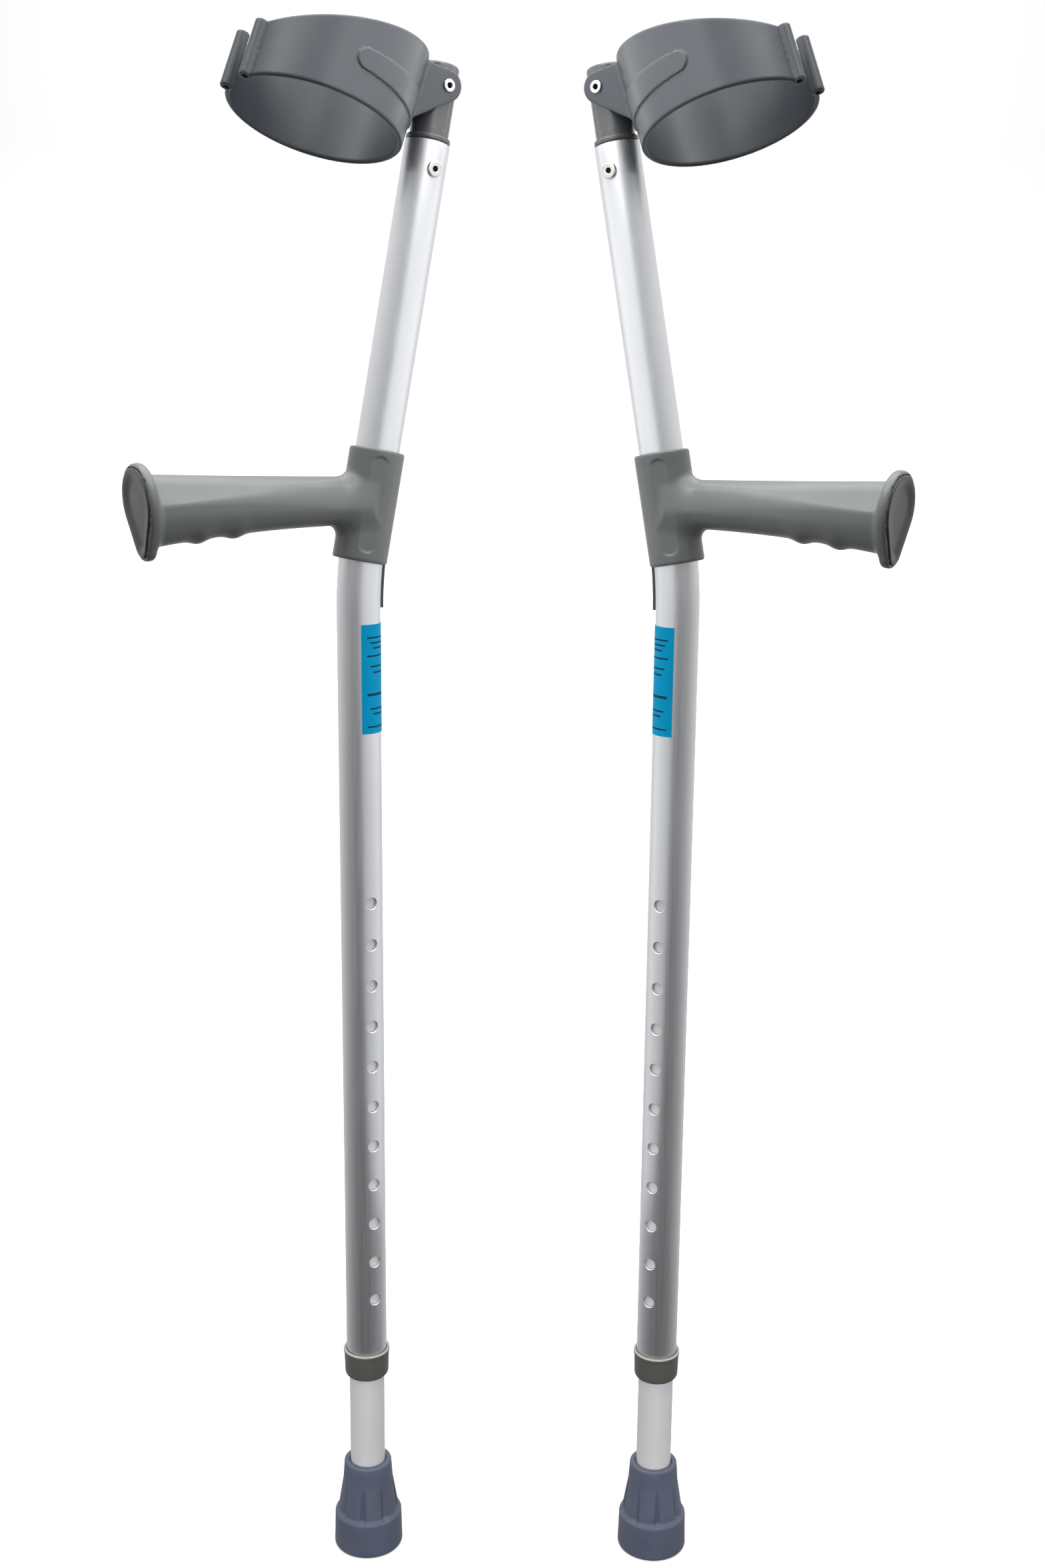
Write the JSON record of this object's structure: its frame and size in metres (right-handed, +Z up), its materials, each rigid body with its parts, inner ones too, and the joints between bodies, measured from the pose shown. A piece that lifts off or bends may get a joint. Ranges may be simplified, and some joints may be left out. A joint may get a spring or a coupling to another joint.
{
  "type": "forearm crutches",
  "caption": "Height-adjustable forearm crutches with pivoting closed cuffs, moulded grips, telescopic legs and rubber tips.",
  "frame": {"origin": "on the floor, under the middle of the bounding box of the two crutches", "axes": "+Z up along the straight legs; +X from the left-hand crutch to the right-hand one; the handles point outward and towards -Y"},
  "size_m": [0.4224, 0.1306, 0.91],
  "materials": {
    "satin_aluminium": "satin anodised",
    "grey_plastic": "fine-grained, slightly glossy moulding",
    "dark_plastic": "smooth moulding",
    "olive_plastic": "satin moulding",
    "blue_film": "printed film",
    "bright_steel": "nickel plated",
    "tip_rubber": "matt rubber"
  },
  "bodies": {
    "left_frame": {"left_outer_tube": "satin_aluminium", "left_handle": "grey_plastic", "left_handle_end_cap": "dark_plastic", "left_handle_wedge": "dark_plastic", "left_tube_label": "blue_film", "left_cuff_stem": "dark_plastic", "left_stem_rivet": "bright_steel", "left_cuff_pivot_rivet": "bright_steel", "left_leg_collar": "olive_plastic"},
    "left_cuff_body": {"left_cuff": "grey_plastic"},
    "left_leg": {"left_leg_tube": "satin_aluminium", "left_rubber_tip": "tip_rubber", "left_tip_washer": "bright_steel", "left_button_spring": "bright_steel"},
    "left_button": {"left_snap_button": "bright_steel"},
    "right_frame": {"right_outer_tube": "satin_aluminium", "right_handle": "grey_plastic", "right_handle_end_cap": "dark_plastic", "right_handle_wedge": "dark_plastic", "right_tube_label": "blue_film", "right_cuff_stem": "dark_plastic", "right_stem_rivet": "bright_steel", "right_cuff_pivot_rivet": "bright_steel", "right_leg_collar": "olive_plastic"},
    "right_cuff_body": {"right_cuff": "grey_plastic"},
    "right_leg": {"right_leg_tube": "satin_aluminium", "right_rubber_tip": "tip_rubber", "right_tip_washer": "bright_steel", "right_button_spring": "bright_steel"},
    "right_button": {"right_snap_button": "bright_steel"}
  },
  "joints": [
    {"name": "left_cuff_swing", "type": "hinge", "parent": "left_frame", "child": "left_cuff_body", "pos_m": [-0.04739, 0.04935, 0.88562], "axis": [0.5388, -0.8425, 0], "range_deg": [-9, 11]},
    {"name": "left_leg_slide", "type": "slide", "parent": "left_frame", "child": "left_leg", "axis": [0, 0, -1], "range_m": [0, 0.255], "deforming": ["left_snap_button"]},
    {"name": "left_button_press", "type": "slide", "parent": "left_leg", "child": "left_button", "axis": [0.5388, -0.8425, 0], "range_m": [0, 0.0032], "stiffness_N_per_m": 2500, "springref_m": -0.002, "deforming": ["left_button_spring"]},
    {"name": "right_cuff_swing", "type": "hinge", "parent": "right_frame", "child": "right_cuff_body", "pos_m": [0.04739, 0.04935, 0.88562], "axis": [0.5388, 0.8425, 0], "range_deg": [-9, 11]},
    {"name": "right_leg_slide", "type": "slide", "parent": "right_frame", "child": "right_leg", "axis": [0, 0, -1], "range_m": [0, 0.255], "deforming": ["right_snap_button"]},
    {"name": "right_button_press", "type": "slide", "parent": "right_leg", "child": "right_button", "axis": [-0.5388, -0.8425, 0], "range_m": [0, 0.0032], "stiffness_N_per_m": 2500, "springref_m": -0.002, "deforming": ["right_button_spring"]},
    {"name": "right_set_apart", "type": "slide", "parent": "left_frame", "child": "right_frame", "axis": [1, 0, 0], "range_m": [0, 0.3]}
  ]
}
